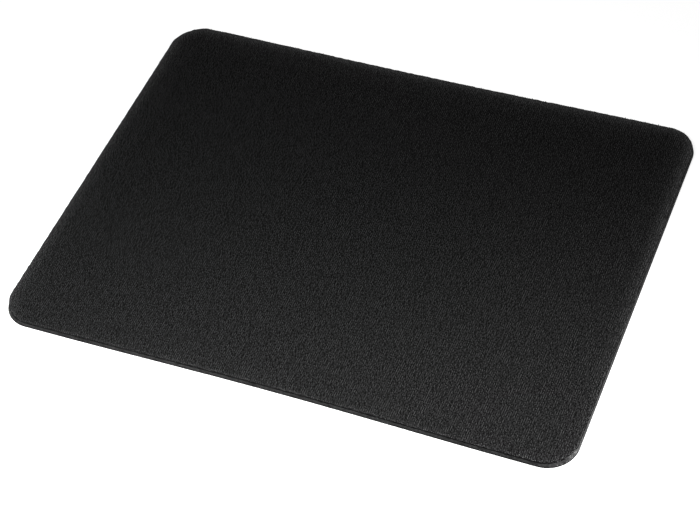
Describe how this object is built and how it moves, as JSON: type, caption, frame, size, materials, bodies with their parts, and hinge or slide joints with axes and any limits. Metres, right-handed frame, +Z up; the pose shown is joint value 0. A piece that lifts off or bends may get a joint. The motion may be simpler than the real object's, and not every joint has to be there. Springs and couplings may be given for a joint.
{
  "type": "mouse pad",
  "caption": "Flat mouse pad with rounded corners: a fine knitted cloth face bonded to a non-slip sponge-rubber base, on which a computer mouse slides.",
  "frame": {"origin": "on the table, under the middle of the pad's underside", "axes": "+X along the long side, +Y along the short side away from the user, +Z up out of the cloth"},
  "size_m": [0.24, 0.18, 0.003],
  "materials": {
    "sponge_rubber": "matt black sponge rubber, cut side slightly open-pored",
    "hot_melt_film": "black hot-melt film",
    "knit_cloth": "fine black knitted polyester"
  },
  "bodies": {
    "root": {"rubber_base": "sponge_rubber", "adhesive_film": "hot_melt_film", "cloth_top": "knit_cloth"}
  },
  "joints": []
}
